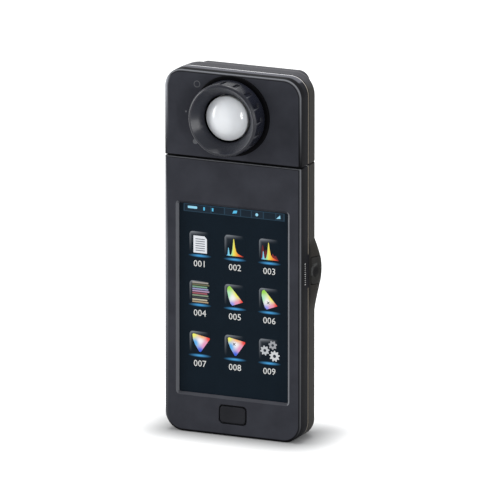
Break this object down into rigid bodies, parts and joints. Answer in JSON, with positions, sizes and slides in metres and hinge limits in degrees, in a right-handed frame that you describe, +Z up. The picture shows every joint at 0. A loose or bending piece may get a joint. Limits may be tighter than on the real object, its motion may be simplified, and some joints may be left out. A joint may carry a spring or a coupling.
{
  "type": "lux meter",
  "caption": "Hand-held light meter: rounded slab body with touch screen and keys, swivel head with domed diffuser in a notched selection ring.",
  "frame": {"origin": "centre of the flat base, under the axis of the swivel", "axes": "+X to the right of someone facing the screen, +Y to the back, +Z up along the body to the head"},
  "size_m": [0.079, 0.04, 0.183],
  "materials": {
    "casing": "satin, fine grain",
    "rear_casing": "satin, fine grain",
    "ring": "satin",
    "key": "satin",
    "diffuser": "translucent white, satin",
    "glass": "gloss",
    "board": "solder mask",
    "steel": "plain",
    "brass": "turned",
    "aluminium": "satin",
    "inner_plastic": "moulded",
    "rubber": "matte",
    "cell": "plain sleeve"
  },
  "bodies": {
    "body": {"front_shell": "casing", "rear_shell": "rear_casing", "touch_panel": "glass", "display_module": "inner_plastic", "display_frame": "inner_plastic", "main_board": "board", "shield_can": "aluminium", "menu_switch": "inner_plastic", "measuring_switch": "inner_plastic", "measuring_board": "board", "power_switch": "inner_plastic", "memory_switch": "inner_plastic", "side_board": "board", "data_socket": "steel", "sync_terminal": "steel", "strap_pin": "steel", "battery_tray": "inner_plastic", "battery_left": "cell", "battery_right": "cell", "contact_strip": "steel", "contact_plate_left": "steel", "contact_plate_right": "steel", "contact_spring_left": "steel", "contact_spring_right": "steel", "tripod_bush": "brass", "swivel_bush": "inner_plastic", "head_cable": "rubber", "case_screw_low_left": "steel", "case_screw_low_right": "steel", "case_screw_high_left": "steel", "case_screw_high_right": "steel"},
    "head": {"head_front_shell": "casing", "head_rear_shell": "rear_casing", "swivel_spigot": "aluminium", "swivel_circlip": "steel", "optical_block": "aluminium", "sensor_board": "board", "head_screw_low_left": "steel", "head_screw_high_left": "steel", "head_screw_low_right": "steel", "head_screw_high_right": "steel", "receptor_collar": "ring", "diffuser_dome": "diffuser", "dome_retainer": "ring", "receptor_nut": "aluminium"},
    "ring": {"selection_ring": "ring", "shutter_disc": "ring"},
    "menu_button": {"menu_button": "key"},
    "measuring_button": {"measuring_button": "key"},
    "power_button": {"power_button": "key"},
    "memory_button": {"memory_button": "key"},
    "data_flap": {"data_flap": "rubber"},
    "sync_cap": {"sync_cap": "rubber"},
    "battery_cover": {"battery_cover": "rear_casing"},
    "battery_lock": {"battery_lock": "key"}
  },
  "joints": [
    {"name": "head_swivel", "type": "hinge", "parent": "body", "child": "head", "pos_m": [0, 0, 0.139], "axis": [0, 0, 1], "range_deg": [-90, 180]},
    {"name": "ring_turn", "type": "hinge", "parent": "head", "child": "ring", "pos_m": [0, -0.0135, 0.1622], "axis": [0, -1, 0], "range_deg": [0, 75]},
    {"name": "menu_button_press", "type": "slide", "parent": "body", "child": "menu_button", "axis": [0, 1, 0], "range_m": [0, 0.0006], "stiffness_N_per_m": 500},
    {"name": "measuring_button_press", "type": "slide", "parent": "body", "child": "measuring_button", "axis": [-1, 0, 0], "range_m": [0, 0.001], "stiffness_N_per_m": 500},
    {"name": "power_button_press", "type": "slide", "parent": "body", "child": "power_button", "axis": [1, 0, 0], "range_m": [0, 0.0006], "stiffness_N_per_m": 500},
    {"name": "memory_button_press", "type": "slide", "parent": "body", "child": "memory_button", "axis": [1, 0, 0], "range_m": [0, 0.0006], "stiffness_N_per_m": 500},
    {"name": "data_flap_hinge", "type": "hinge", "parent": "body", "child": "data_flap", "pos_m": [-0.03635, 0.0003, 0.0743], "axis": [0, -1, 0], "range_deg": [0, 110]},
    {"name": "sync_cap_pull", "type": "slide", "parent": "body", "child": "sync_cap", "axis": [-1, 0, 0], "range_m": [0, 0.006]},
    {"name": "battery_cover_lift", "type": "slide", "parent": "body", "child": "battery_cover", "axis": [0, 1, 0], "range_m": [0, 0.02]},
    {"name": "battery_lock_slide", "type": "slide", "parent": "body", "child": "battery_lock", "axis": [0, 0, 1], "range_m": [0, 0.0026]}
  ]
}
